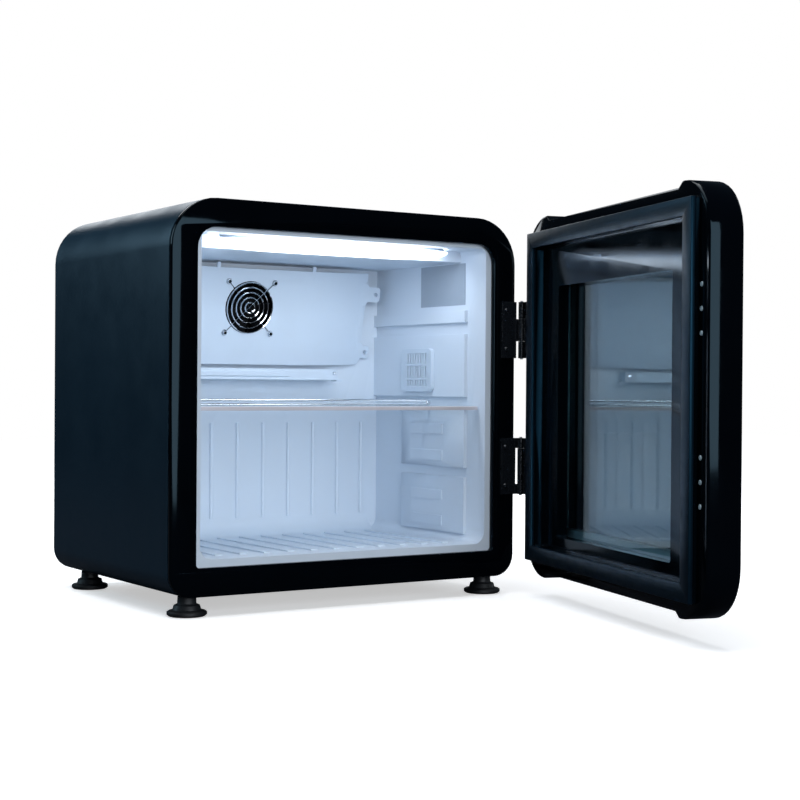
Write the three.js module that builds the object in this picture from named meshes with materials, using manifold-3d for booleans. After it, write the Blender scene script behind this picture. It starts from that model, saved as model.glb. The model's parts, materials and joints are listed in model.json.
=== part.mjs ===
// Counter-top glass-door mini fridge, thermoelectric, shown with its door standing open.
// Millimetres, +Z up, front toward -Y. The cabinet's front face is the plane y = 0, its middle is x = 0
// and the floor is z = 0; the whole group is shifted at the end so that its box is centred on the origin.
import * as THREE from "three";
import { mergeVertices } from "three/addons/utils/BufferGeometryUtils.js";
import Module from "manifold-3d";

// ---------- driving dimensions ----------
const WIDTH = 508; // cabinet, side to side
const BODY_HEIGHT = 480; // cabinet without its feet
const DEPTH = 377; // cabinet, front face to back edge
const FOOT_HEIGHT = 24; // floor to the underside of the cabinet
const TOP_RADIUS = 61; // upper corners of the cabinet
const BOTTOM_RADIUS = 29; // lower corners of the cabinet
const GAP = 0.3; // clearance between pieces that touch
const SHEET = 1.2; // steel shell
const COLLAR_DEPTH = 8; // front bezel, front to back
const COLLAR_BORDER = 35; // width of the bezel round the opening
const LINER_WALL = 2.5; // thermoformed inner box
const CAVITY_CLEAR = 95; // back edge of the cabinet to the cold space
const CAVITY_BORDER_SIDE = 43; // cabinet side to the cold space
const CAVITY_BORDER_TOP = 40; // cabinet top to the cold space
const CAVITY_BORDER_BOTTOM = 44; // cabinet underside to the cold space
const FOAM_CLEAR = 49.3; // back edge of the cabinet to the rear face of the insulation
const DOOR_THICKNESS = 51; // gasket face to the outer face
const DOOR_RADIUS = 61; // corners of the door
const DOOR_STEP = 10; // how far the gasket and inner frame stand off the door frame
const DOOR_INSET = 23; // side of the door frame to the gasket
const DOOR_INSET_TOP = 21; // top and bottom of the door frame to the gasket
const DOOR_LIFT = 4; // underside of the door above the underside of the cabinet
const DOOR_GAP = 0.5; // gasket face to cabinet face with the door shut
const DOOR_OPEN = 74.4; // degrees the door stands open
const HINGE_OUTBOARD = 7; // hinge axis beyond the side of the cabinet
const HINGE_FORWARD = 6; // hinge axis in front of the cabinet
const HINGE_OFFSET = 92; // each hinge above or below the middle of the door
const FAN_SIZE = 80; // square axial fans
const FAN_SCREW = FAN_SIZE - 8.5; // spacing of their four screws
const FAN_DEPTH = 15;
const SHELF_TOP = 252; // upper face of the glass shelf above the floor
const COVER_TILT = 11.2; // degrees the top of the fan cover leans forward

// ---------- derived levels ----------
const UNDER = FOOT_HEIGHT;
const TOP = FOOT_HEIGHT + BODY_HEIGHT;
const MID = FOOT_HEIGHT + BODY_HEIGHT / 2;
const HALF = WIDTH / 2;
const DOOR_LOW = UNDER + DOOR_LIFT;
const DOOR_MID = (DOOR_LOW + TOP) / 2;
const WALL_X = HALF - CAVITY_BORDER_SIDE; // face of the side walls
const CEILING = TOP - CAVITY_BORDER_TOP;
const FLOOR = UNDER + CAVITY_BORDER_BOTTOM;
const HINGE_X = HALF + HINGE_OUTBOARD;
const HINGE_Y = -HINGE_FORWARD;
const CAVITY_BACK = DEPTH - CAVITY_CLEAR;
const FOAM_BACK = DEPTH - FOAM_CLEAR;
const LINER_FRONT = COLLAR_DEPTH + GAP;

const wasm = await Module();
wasm.setup();
const fridge = new THREE.Group();
const door = new THREE.Group();
fridge.add(door);

// ---------- helpers ----------
function paint(color, roughness, metalness = 0, extra = {}) {
  return new THREE.MeshStandardMaterial({ color, roughness, metalness, ...extra });
}

function put(name, geometry, material, parent = fridge) {
  const mesh = new THREE.Mesh(geometry, material);
  mesh.name = name;
  parent.add(mesh);
  return mesh;
}

// A box between two corners given as [low, high] pairs.
function block([x0, x1], [y0, y1], [z0, z1]) {
  const g = new THREE.BoxGeometry(x1 - x0, y1 - y0, z1 - z0);
  return g.translate((x0 + x1) / 2, (y0 + y1) / 2, (z0 + z1) / 2);
}

// A cylinder or cone along an axis, from its first end point.
function rod(radius, length, axis, [x, y, z], segments = 24, endRadius = radius) {
  const g = new THREE.CylinderGeometry(endRadius, radius, length, segments);
  g.translate(0, length / 2, 0);
  if (axis === "x") g.rotateZ(-Math.PI / 2);
  if (axis === "z") g.rotateX(Math.PI / 2);
  return g.translate(x, y, z);
}

// A closed outline with rounded corners, centred on (cx, cy); radii from lower left, anticlockwise.
function rounded(width, height, radii, cx = 0, cy = 0, path = new THREE.Shape()) {
  const [ll, lr, ur, ul] = Array.isArray(radii) ? radii : [radii, radii, radii, radii];
  const x0 = cx - width / 2;
  const x1 = cx + width / 2;
  const y0 = cy - height / 2;
  const y1 = cy + height / 2;
  path.moveTo(x0 + ll, y0);
  path.lineTo(x1 - lr, y0);
  path.absarc(x1 - lr, y0 + lr, lr, -Math.PI / 2, 0, false);
  path.absarc(x1 - ur, y1 - ur, ur, 0, Math.PI / 2, false);
  path.absarc(x0 + ul, y1 - ul, ul, Math.PI / 2, Math.PI, false);
  path.absarc(x0 + ll, y0 + ll, ll, Math.PI, Math.PI * 1.5, false);
  return path;
}

// An outline in the x-z plane made solid between two depths.
function slab(shape, y0, y1, { hole = null, bevel = 0, segments = 3, bevelSegments = 2 } = {}) {
  if (hole) shape.holes.push(hole);
  const g = new THREE.ExtrudeGeometry(shape, {
    depth: y1 - y0 - 2 * bevel,
    curveSegments: segments,
    bevelEnabled: bevel > 0,
    bevelSize: bevel,
    bevelOffset: -bevel,
    bevelThickness: bevel,
    bevelSegments,
  });
  g.rotateX(Math.PI / 2);
  return g.translate(0, y1 - bevel, 0);
}

// An outline in the x-y plane made solid between two heights.
function layer(shape, z0, z1, segments = 8) {
  const g = new THREE.ExtrudeGeometry(shape, {
    depth: z1 - z0,
    curveSegments: segments,
    bevelEnabled: false,
  });
  return g.translate(0, 0, z0);
}

// An outline in the y-z plane made solid between two x positions.
function beam(shape, x0, x1, segments = 8) {
  const g = new THREE.ExtrudeGeometry(shape, {
    depth: x1 - x0,
    curveSegments: segments,
    bevelEnabled: false,
  });
  const turn = new THREE.Matrix4().makeBasis(
    new THREE.Vector3(0, 1, 0),
    new THREE.Vector3(0, 0, 1),
    new THREE.Vector3(1, 0, 0),
  );
  return g.applyMatrix4(turn).translate(x0, 0, 0);
}

function polygon(points) {
  return new THREE.Shape(points.map(([x, y]) => new THREE.Vector2(x, y)));
}

function solid(geometry) {
  const bare = geometry.clone();
  bare.deleteAttribute("normal");
  bare.deleteAttribute("uv");
  const merged = mergeVertices(bare, 1e-4);
  return new wasm.Manifold(
    new wasm.Mesh({
      numProp: 3,
      vertProperties: new Float32Array(merged.attributes.position.array),
      triVerts: new Uint32Array(merged.index.array),
    }),
  );
}

// Adds the first list together and takes the second list away.
function combine(adds, cuts = []) {
  const [first, ...rest] = adds.map(solid);
  const joined = rest.reduce((whole, piece) => whole.add(piece), first);
  const made = cuts.map(solid).reduce((whole, piece) => whole.subtract(piece), joined);
  const mesh = made.getMesh();
  const g = new THREE.BufferGeometry();
  g.setAttribute("position", new THREE.BufferAttribute(mesh.vertProperties, 3));
  g.setIndex(new THREE.BufferAttribute(mesh.triVerts, 1));
  return g;
}

// A frame: an outer rounded outline with a rounded opening, both centred on the same middle.
function frame(width, height, radius, openWidth, openHeight, openRadius, cz, y0, y1, options = {}) {
  const hole = rounded(openWidth, openHeight, openRadius, 0, cz, new THREE.Path());
  return slab(rounded(width, height, radius, 0, cz), y0, y1, { ...options, hole });
}

const RUBBER = paint(0x101214, 0.75);
const GLOSS_BLACK = paint(0x06090c, 0.12);
const SATIN_NAVY = paint(0x0d1b26, 0.32, 0.3);
const WHITE_PLASTIC = paint(0xdfe7ee, 0.38);
const CHROME = paint(0xd4d8dc, 0.12, 1);
const ALUMINIUM = paint(0xb9bec2, 0.4, 1);
const BLACK_PLASTIC = paint(0x0b0c0e, 0.5);
const BLACK_STEEL = paint(0x111417, 0.35, 0.6);

// ---------- cabinet ----------
const cabinetRadii = [BOTTOM_RADIUS, BOTTOM_RADIUS, TOP_RADIUS, TOP_RADIUS];

function cabinetOutline(inset, path = new THREE.Shape()) {
  const radii = cabinetRadii.map((r) => Math.max(r - inset, 1));
  return rounded(WIDTH - 2 * inset, BODY_HEIGHT - 2 * inset, radii, 0, MID, path);
}

const SHELL_FRONT = COLLAR_DEPTH + GAP;
const FOOT_X = HALF - 34;
const FOOT_Y = [25, DEPTH - 47]; // front and rear pairs
const STUD = 4; // radius of a foot's threaded stud
const STUD_REACH = 12; // how far it goes up into the cabinet
const studBores = [-1, 1].flatMap((side) =>
  FOOT_Y.map((y) => rod(STUD + GAP, STUD_REACH + 3, "z", [side * FOOT_X, y, UNDER - 1], 16)),
);
const shellTube = slab(cabinetOutline(0), SHELL_FRONT, DEPTH, {
  hole: cabinetOutline(SHEET, new THREE.Path()),
  segments: 5,
});
put("outer_shell", combine([shellTube], studBores), SATIN_NAVY);

// The bezel: a rounded outer edge and a sharp-cornered lower opening.
const OPEN_WIDTH = WIDTH - 2 * COLLAR_BORDER;
const OPEN_HEIGHT = BODY_HEIGHT - 2 * COLLAR_BORDER;
const OPEN_TOP_RADIUS = 26;
const OPEN_LOW_RADIUS = 5;
const openRadii = [OPEN_LOW_RADIUS, OPEN_LOW_RADIUS, OPEN_TOP_RADIUS, OPEN_TOP_RADIUS];
const LEAF_SCREW_X = HALF - 16; // hinge screws, on both the cabinet and the door
const LEAF_SCREW_Z = 26; // above and below the middle of each hinge
const SCREW_BORE = 2.2;
const hingeHeights = { upper: MID + HINGE_OFFSET, lower: MID - HINGE_OFFSET };
const collar = slab(cabinetOutline(0), 0, COLLAR_DEPTH, {
  hole: rounded(OPEN_WIDTH, OPEN_HEIGHT, openRadii, 0, MID, new THREE.Path()),
  bevel: 2,
  segments: 5,
});
const collarBores = Object.values(hingeHeights).flatMap((z) =>
  [-1, 1].map((s) => rod(SCREW_BORE, COLLAR_DEPTH + 2, "y", [LEAF_SCREW_X, -1, z + s * LEAF_SCREW_Z], 10)),
);
put("front_collar", combine([collar], collarBores), GLOSS_BLACK);

// The liner: a box with a front lip, raised side blocks, back ribs, a lowered rear ceiling and
// a ribbed floor.
const LINER_OUT_X = WALL_X + LINER_WALL;
const LINER_OUT_TOP = CEILING + LINER_WALL;
const LINER_OUT_LOW = FLOOR - LINER_WALL;
const LINER_OUT_BACK = CAVITY_BACK + LINER_WALL;
const CAVITY_WIDTH = 2 * WALL_X;
const CAVITY_HEIGHT = CEILING - FLOOR;
const CAVITY_MID = (CEILING + FLOOR) / 2;
const CAVITY_RADII = [16, 16, 8, 8];
const LIP_DEPTH = 6; // the liner's flange behind the bezel
const LIP_MARGIN = 6;
const SINK_X = -20; // middle of the cooling unit
const SINK_Z = CEILING - 77;
const CEILING_STEP = 66; // behind this the ceiling is lower
const CEILING_DROP = 14;
const SINK_OPEN_W = 96;
const SINK_OPEN_H = 86;
const BLOCK_FRONT = 50; // front edge of the raised side blocks
const BLOCK_PROUD = 5; // how far they stand off the wall
const BLOCK_BACK = 205;
const SHELF_GLASS = 4;
const SHELF_LOW = SHELF_TOP - SHELF_GLASS;
const sideBlocks = [
  [FLOOR + 10, FLOOR + 87],
  [FLOOR + 100, SHELF_LOW - GAP],
];
const UPPER_BLOCK = [SHELF_TOP + 13, SINK_Z - 36];
const LABEL_BLOCK = [SINK_Z - 20, SINK_Z - 4];
const PAD_SHARE = 0.18; // height of a raised pad over the height of its block
const PAD_FIRST = 0.1; // where the lower pad starts
const PAD_STEP = 0.46;
const PAD_DEPTH = 78;
const PAD_PROUD = 1.6;
const RIB_COUNT = 10;
const RIB_PITCH = 40.8;
const RIB_RADIUS = 3;
const RIB_LOW = FLOOR + 24;
const RIB_TOP = SHELF_TOP - 26;
const FLOOR_RIBS = 11;
const FLOOR_RIB_PITCH = 34;

function linerPads([low, high], side) {
  const tall = high - low;
  const inner = side * (WALL_X - BLOCK_PROUD - PAD_PROUD);
  const outer = side * (WALL_X - BLOCK_PROUD + 1);
  const x = [Math.min(inner, outer), Math.max(inner, outer)];
  return [0, 1].map((row) => {
    const z = low + tall * (PAD_FIRST + row * PAD_STEP);
    return block(x, [101, 101 + PAD_DEPTH], [z, z + tall * PAD_SHARE]);
  });
}

function sideBlock(side, [low, high], back) {
  const inner = side * (WALL_X - BLOCK_PROUD);
  const outer = side * (WALL_X + 1);
  return block([Math.min(inner, outer), Math.max(inner, outer)], [BLOCK_FRONT, back], [low, high]);
}

const linerAdds = [
  slab(rounded(2 * LINER_OUT_X, LINER_OUT_TOP - LINER_OUT_LOW,
    CAVITY_RADII.map((r) => r + LINER_WALL), 0, CAVITY_MID),
    LINER_FRONT, LINER_OUT_BACK),
  slab(rounded(OPEN_WIDTH + 2 * LIP_MARGIN, OPEN_HEIGHT + 2 * LIP_MARGIN, 12, 0, MID), LINER_FRONT,
    LINER_FRONT + LIP_DEPTH),
];
const linerCuts = [
  slab(rounded(CAVITY_WIDTH, CAVITY_HEIGHT, CAVITY_RADII, 0, CAVITY_MID), LINER_FRONT - 1, CAVITY_BACK),
  block([SINK_X - SINK_OPEN_W / 2, SINK_X + SINK_OPEN_W / 2], [CAVITY_BACK - 1, LINER_OUT_BACK + 1],
    [SINK_Z - SINK_OPEN_H / 2, SINK_Z + SINK_OPEN_H / 2]),
];
const features = [];
for (const side of [-1, 1]) {
  for (const range of sideBlocks) {
    features.push(sideBlock(side, range, BLOCK_BACK));
    features.push(...linerPads(range, side));
  }
  features.push(sideBlock(side, UPPER_BLOCK, CAVITY_BACK + 1));
  features.push(sideBlock(side, LABEL_BLOCK, CAVITY_BACK + 1));
}
for (let i = 0; i < RIB_COUNT; i++) {
  const x = (i - (RIB_COUNT - 1) / 2) * RIB_PITCH;
  features.push(rod(RIB_RADIUS, RIB_TOP - RIB_LOW, "z", [x, CAVITY_BACK - 1, RIB_LOW], 8));
}
for (let i = 0; i < FLOOR_RIBS; i++) {
  const x = (i - (FLOOR_RIBS - 1) / 2) * FLOOR_RIB_PITCH;
  features.push(block([x - 5, x + 5], [40, 240], [FLOOR - 1, FLOOR + 2]));
}
const cove = 30; // radius where the back wall meets the floor
const coveShape = new THREE.Shape();
coveShape.moveTo(CAVITY_BACK + 1, FLOOR - 1);
coveShape.lineTo(CAVITY_BACK + 1, FLOOR + cove);
coveShape.lineTo(CAVITY_BACK, FLOOR + cove);
coveShape.absarc(CAVITY_BACK - cove, FLOOR + cove, cove, 0, -Math.PI / 2, true);
coveShape.lineTo(CAVITY_BACK - cove, FLOOR - 1);
features.push(beam(coveShape, -WALL_X + 17, WALL_X - 17, 6));
const upperRadius = CAVITY_RADII[2];
const dropShape = rounded(CAVITY_WIDTH + 1, CEILING_DROP + 1, [0.5, 0.5, upperRadius, upperRadius], 0,
  CEILING - CEILING_DROP / 2);
features.push(slab(dropShape, CEILING_STEP, CAVITY_BACK + 1));
put("inner_liner", combine([combine(linerAdds, linerCuts), ...features]), WHITE_PLASTIC);

// ---------- insulation ----------
const FOAM_INSET = SHEET + GAP;
const LINER_CLEAR = GAP;
const BLOCK_SIZE = 40; // aluminium spacer through the insulation
const SINK_BASE_Y = CAVITY_BACK + 8;
const SINK_BASE = 6;
put(
  "foam_insulation",
  combine(
    [slab(cabinetOutline(FOAM_INSET), LINER_FRONT, FOAM_BACK, { segments: 5 })],
    [
      slab(rounded(2 * (LINER_OUT_X + LINER_CLEAR), LINER_OUT_TOP - LINER_OUT_LOW + 2 * LINER_CLEAR,
        CAVITY_RADII.map((r) => r + LINER_WALL), 0, CAVITY_MID), LINER_FRONT - 1,
          LINER_OUT_BACK + LINER_CLEAR),
      slab(rounded(OPEN_WIDTH + 2 * LIP_MARGIN + 2 * GAP, OPEN_HEIGHT + 2 * LIP_MARGIN + 2 * GAP, 12,
        0, MID),
        LINER_FRONT - 1, LINER_FRONT + LIP_DEPTH + GAP),
      block([SINK_X - SINK_OPEN_W / 2, SINK_X + SINK_OPEN_W / 2],
        [CAVITY_BACK, SINK_BASE_Y + SINK_BASE + GAP],
        [SINK_Z - SINK_OPEN_H / 2, SINK_Z + SINK_OPEN_H / 2]),
      block([SINK_X - BLOCK_SIZE / 2 - GAP, SINK_X + BLOCK_SIZE / 2 + GAP], [SINK_BASE_Y, FOAM_BACK + 1],
        [SINK_Z - BLOCK_SIZE / 2 - GAP, SINK_Z + BLOCK_SIZE / 2 + GAP]),
      ...studBores,
    ],
  ),
  paint(0xd9c99a, 0.9),
);

// ---------- cooling unit ----------
// A finned block: a base plate with upright fins along z, fins pointing to +y or -y.
function finned(width, height, baseY, base, finLength, direction, count) {
  const half = width / 2;
  const low = SINK_Z - height / 2;
  const pieces = [block([SINK_X - half, SINK_X + half], [baseY, baseY + base], [low, low + height])];
  const fin = 1.8;
  const tip = direction > 0 ? [baseY + base - 0.5, baseY + base + finLength] : [baseY - finLength,
    baseY + 0.5];
  for (let i = 0; i < count; i++) {
    const x = SINK_X - half + ((width - fin) * i) / (count - 1);
    pieces.push(block([x, x + fin], tip, [low, low + height]));
  }
  return pieces;
}

const PELTIER = 3.8;
const PELTIER_FRONT = FOAM_BACK - PELTIER;
const COLD_FIN = 14;
const COLD_W = 90;
const COLD_H = 80;
put(
  "cold_heat_sink",
  combine([
    ...finned(COLD_W, COLD_H, SINK_BASE_Y, SINK_BASE, COLD_FIN, -1, 12),
    block([SINK_X - BLOCK_SIZE / 2, SINK_X + BLOCK_SIZE / 2], [SINK_BASE_Y + 1, PELTIER_FRONT - GAP],
      [SINK_Z - BLOCK_SIZE / 2, SINK_Z + BLOCK_SIZE / 2]),
  ]),
  ALUMINIUM,
);
put(
  "peltier_module",
  block([SINK_X - BLOCK_SIZE / 2, SINK_X + BLOCK_SIZE / 2], [PELTIER_FRONT, FOAM_BACK],
    [SINK_Z - BLOCK_SIZE / 2, SINK_Z + BLOCK_SIZE / 2]),
  paint(0xe8e6df, 0.6),
);
const HOT_BASE_Y = FOAM_BACK + GAP;
const HOT_BASE = 6;
const HOT_FIN = 19;
const HOT_W = 130;
const HOT_H = 130;
put("hot_heat_sink", combine(finned(HOT_W, HOT_H, HOT_BASE_Y, HOT_BASE, HOT_FIN, 1, 16)), ALUMINIUM);

// A square axial fan centred on the origin, from y = 0 to its depth.
function fanFrame() {
  const half = FAN_SIZE / 2;
  const screws = [-1, 1].flatMap((sx) =>
    [-1, 1].map((sz) => rod(2.2, FAN_DEPTH + 2, "y", [(sx * FAN_SCREW) / 2, -1, (sz * FAN_SCREW) / 2], 10)),
  );
  const shell = combine(
    [slab(rounded(FAN_SIZE, FAN_SIZE, 5), 0, FAN_DEPTH, { segments: 3 })],
    [rod(half - 1.8, FAN_DEPTH + 2, "y", [0, -1, 0], 32), ...screws],
  );
  const spokes = [0, 1, 2].map((i) => {
    const arm = block([0, half - 1], [FAN_DEPTH - 2.5, FAN_DEPTH], [-2, 2]);
    return arm.rotateY((i * 2 * Math.PI) / 3);
  });
  return combine([shell, ...spokes, rod(13, 2.5, "y", [0, FAN_DEPTH - 2.5, 0], 20)]);
}

const BLADE_ROOT = 14;
const BLADE_TIP = FAN_SIZE / 2 - 4.5;

// The turning part: a hub with seven pitched blades.
function fanRotor() {
  const hub = rod(15, FAN_DEPTH - 4, "y", [0, 1, 0], 24);
  const blades = Array.from({ length: 7 }, (_, i) => {
    const blade = new THREE.BoxGeometry(BLADE_TIP - BLADE_ROOT, 1.4, 15);
    blade.rotateX(0.55);
    blade.translate((BLADE_TIP + BLADE_ROOT) / 2, 6.3, 0);
    return blade.rotateY((i * 2 * Math.PI) / 7);
  });
  return combine([hub, ...blades]);
}

const FAN_Y = HOT_BASE_Y + HOT_BASE + HOT_FIN + 1;
for (const [name, geometry] of [["outer_fan_frame", fanFrame()], ["outer_fan_rotor", fanRotor()]]) {
  put(name, geometry.translate(SINK_X, FAN_Y, SINK_Z), BLACK_PLASTIC);
}

// ---------- back and underside ----------
const PANEL_FRONT = DEPTH - 5;
const PANEL_BACK = DEPTH - 3;
const grille = [];
for (let i = 0; i < 9; i++) {
  const z = SINK_Z - 40 + i * 10;
  grille.push(block([SINK_X - 42, SINK_X + 42], [PANEL_FRONT - 1, PANEL_BACK + 1], [z - 2.5, z + 2.5]));
}
for (let i = 0; i < 6; i++) {
  const z = 150 + i * 12;
  grille.push(block([-100, 100], [PANEL_FRONT - 1, PANEL_BACK + 1], [z - 2.5, z + 2.5]));
}
const INLET = { x: 160, z: 90, width: 34, height: 26 };
grille.push(
  block([INLET.x - INLET.width / 2, INLET.x + INLET.width / 2], [PANEL_FRONT - 1, PANEL_BACK + 1],
    [INLET.z - INLET.height / 2, INLET.z + INLET.height / 2]),
);
put(
  "rear_panel",
  combine([slab(cabinetOutline(FOAM_INSET), PANEL_FRONT, PANEL_BACK, { segments: 5 })], grille),
  paint(0x1a1d20, 0.6, 0.4),
);
const inletW = INLET.width - 2 * GAP;
const inletH = INLET.height - 2 * GAP;
put(
  "power_inlet",
  combine(
    [
      block([INLET.x - inletW / 2, INLET.x + inletW / 2], [PANEL_FRONT - 18, PANEL_BACK + 1],
        [INLET.z - inletH / 2, INLET.z + inletH / 2]),
      block([INLET.x - inletW / 2 - 4, INLET.x + inletW / 2 + 4], [PANEL_BACK + GAP, PANEL_BACK + 2.3],
        [INLET.z - inletH / 2 - 4, INLET.z + inletH / 2 + 4]),
    ],
    [
      block([INLET.x - inletW / 2 + 4, INLET.x + inletW / 2 - 4], [PANEL_BACK - 12, PANEL_BACK + 3],
        [INLET.z - inletH / 2 + 4, INLET.z + inletH / 2 - 4]),
    ],
  ),
  BLACK_PLASTIC,
);

// ---------- feet ----------
// A rubber pad, a stepped cone and a stud, turned as one profile.
const FOOT_PROFILE = [
  [0, 0], [22, 0], [24.5, 2], [24.5, 5], [22.5, 6.5], [17.5, 7.5], [16, 13], [11.7, 15],
  [11.3, FOOT_HEIGHT - GAP], [STUD, FOOT_HEIGHT - GAP], [STUD, FOOT_HEIGHT + STUD_REACH],
    [0, FOOT_HEIGHT + STUD_REACH],
];
for (const [row, y] of FOOT_Y.entries()) {
  for (const side of [-1, 1]) {
    const profile = FOOT_PROFILE.map(([r, h]) => new THREE.Vector2(r, h));
    const foot = new THREE.LatheGeometry(profile, 24).rotateX(Math.PI / 2);
    put(`foot_${row ? "rear" : "front"}_${side < 0 ? "left" : "right"}`,
      foot.translate(side * FOOT_X, y, 0), RUBBER);
  }
}

// ---------- fan cover and its fan, leaning forward together ----------
const COVER_Y = CAVITY_BACK - 33; // front of the cover at the middle of the fan
const COVER_SHEET = 2.5;
const COVER_TOP = 54.5; // above the middle of the fan
const COVER_LOW = -80.5;
const COVER_START = -(WALL_X - BLOCK_PROUD) + 0.5 - SINK_X;
const COVER_END = 197; // right edge, from the middle of the fan
const COVER_BEND = 75; // where the face starts to curve back
const COVER_SWEEP = 14; // how far back it is at its right edge
const COVER_CORNER = 10;
const COVER_CLIPS = [-55, 96];
const CLIP_WIDTH = 5;
const CLIP_HEIGHT = 7;
const SCREW_SHANK = 1.9;

function lean(geometry) {
  return geometry.rotateX(THREE.MathUtils.degToRad(COVER_TILT)).translate(SINK_X, COVER_Y, SINK_Z);
}

// A dome-headed screw pointing along +y, its head's underside at y = 0.
function screw(shank, head = 4) {
  const dome = rod(head * 0.62, 2.2, "y", [0, -2.2, 0], 14, head);
  return combine([dome, rod(SCREW_SHANK, shank + 0.5, "y", [0, -0.5, 0], 10)]);
}

const fanCorners = [-1, 1].flatMap((sx) => [-1,
  1].map((sz) => [(sx * FAN_SCREW) / 2, (sz * FAN_SCREW) / 2]));

// The cover in plan: flat over the fan, then curving back toward the wall.
const sweepRun = COVER_END - COVER_BEND;
const sweepDepth = (x) => (x < COVER_BEND ? 0 : COVER_SWEEP * ((x - COVER_BEND) / sweepRun) ** 2);
const sweepSteps = Array.from({ length: 7 }, (_, i) => COVER_BEND + (sweepRun * i) / 6);
const coverPlan = polygon([
  [COVER_START, 0],
  ...sweepSteps.map((x) => [x, sweepDepth(x)]),
  ...sweepSteps.toReversed().map((x) => [x, sweepDepth(x) + COVER_SHEET]),
  [COVER_START, COVER_SHEET],
]);

// An ear at the right edge, its sides run out into the edge by small fillets.
const EAR_ROOT = COVER_END - 9;
const EAR_FILLET = 5;
const ears = {
  upper: { x: 212.5, z: 23.7, end: 219.5, top: 35, low: 12.5, foot: EAR_FILLET },
  lower: { x: 204, z: -62, end: 211.5, top: -52, low: -70, foot: 0.5 },
};
const earY = [COVER_SWEEP - 1.8, COVER_SWEEP - 1.8 + COVER_SHEET];

function earTab({ end, top, low, foot }) {
  const shape = new THREE.Shape();
  shape.moveTo(EAR_ROOT, top + EAR_FILLET);
  shape.lineTo(COVER_END, top + EAR_FILLET);
  shape.absarc(COVER_END + EAR_FILLET, top + EAR_FILLET, EAR_FILLET, Math.PI, Math.PI * 1.5, false);
  shape.absarc(end - EAR_FILLET, top - EAR_FILLET, EAR_FILLET, Math.PI / 2, 0, true);
  shape.absarc(end - EAR_FILLET, low + EAR_FILLET, EAR_FILLET, 0, -Math.PI / 2, true);
  shape.absarc(COVER_END + foot, low - foot, foot, Math.PI / 2, Math.PI, false);
  shape.lineTo(EAR_ROOT, low - foot);
  return slab(shape, ...earY);
}

// Takes the lower right corner off the cover, leaving it round.
const cornerCut = polygon([
  [COVER_END - COVER_CORNER, COVER_LOW - 1],
  [COVER_END + 1, COVER_LOW - 1],
  [COVER_END + 1, COVER_LOW + COVER_CORNER],
  ...Array.from({ length: 5 }, (_, i) => [
    COVER_END - COVER_CORNER + COVER_CORNER * Math.cos((i * Math.PI) / 8),
    COVER_LOW + COVER_CORNER - COVER_CORNER * Math.sin((i * Math.PI) / 8),
  ]),
]);
const coverClips = COVER_CLIPS.map((x) =>
  block([x, x + CLIP_WIDTH], [sweepDepth(x) + 0.2, sweepDepth(x) + COVER_SHEET],
    [COVER_TOP - 1, COVER_TOP + CLIP_HEIGHT]),
);
const coverBores = [
  rod(FAN_SIZE / 2 - 3, COVER_SHEET + 2, "y", [0, -1, 0], 40),
  ...fanCorners.map(([x, z]) => rod(SCREW_BORE, COVER_SHEET + 2, "y", [x, -1, z], 10)),
  ...Object.values(ears).map(({ x, z }) => rod(SCREW_BORE, COVER_SHEET + 4, "y", [x, earY[0] - 2, z], 10)),
];
put(
  "fan_cover",
  lean(
    combine(
      [
        combine([layer(coverPlan, COVER_LOW, COVER_TOP)],
          [slab(cornerCut, -1, COVER_SWEEP + COVER_SHEET + 2)]),
        ...Object.values(ears).map(earTab),
        ...coverClips,
      ],
      coverBores,
    ),
  ),
  WHITE_PLASTIC,
);
for (const [name, { x, z }] of Object.entries(ears)) {
  put(`cover_screw_${name}`, lean(screw(COVER_SHEET, 3.6).translate(x, earY[0] - GAP, z)), CHROME);
}
put("inner_fan_frame", lean(fanFrame().translate(0, COVER_SHEET + GAP, 0)), BLACK_PLASTIC);
put("inner_fan_rotor", lean(fanRotor().translate(0, COVER_SHEET + GAP, 0)), BLACK_PLASTIC);

// The finger guard: rings carried on two crossed wires that end in an eye at each screw.
const GUARD_WIRE = 0.9;
const GUARD_PITCH = 7;
const GUARD_RINGS = [4, 3, 2, 1, 0].map((i) => BLADE_TIP - i * GUARD_PITCH);
const wireY = -GAP - GUARD_WIRE;
const diagonal = FAN_SCREW * Math.SQRT2 - 6;
const guardPieces = GUARD_RINGS.map((r, i) =>
  new THREE.TorusGeometry(r, GUARD_WIRE, 5, 16 + 3 * i).rotateX(Math.PI / 2).translate(0,
    wireY - GUARD_WIRE * 1.2, 0),
);
for (const turn of [1, -1]) {
  guardPieces.push(rod(GUARD_WIRE, diagonal, "x", [-diagonal / 2, 0, 0],
    6).rotateY((turn * Math.PI) / 4).translate(0, wireY, 0));
}
const eyes = fanCorners.map(([x, z]) => rod(4.2, 2 * GUARD_WIRE, "y", [x, wireY - GUARD_WIRE, z], 14));
const eyeBores = fanCorners.map(([x, z]) => rod(SCREW_BORE, 6, "y", [x, -4, z], 10));
put("fan_guard", lean(combine([...guardPieces, ...eyes], eyeBores)), CHROME);
fanCorners.forEach(([x, z], i) => {
  const head = wireY - GUARD_WIRE - GAP;
  put(`guard_screw_${i + 1}`, lean(screw(14).translate(x, head, z)), CHROME);
});

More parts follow.
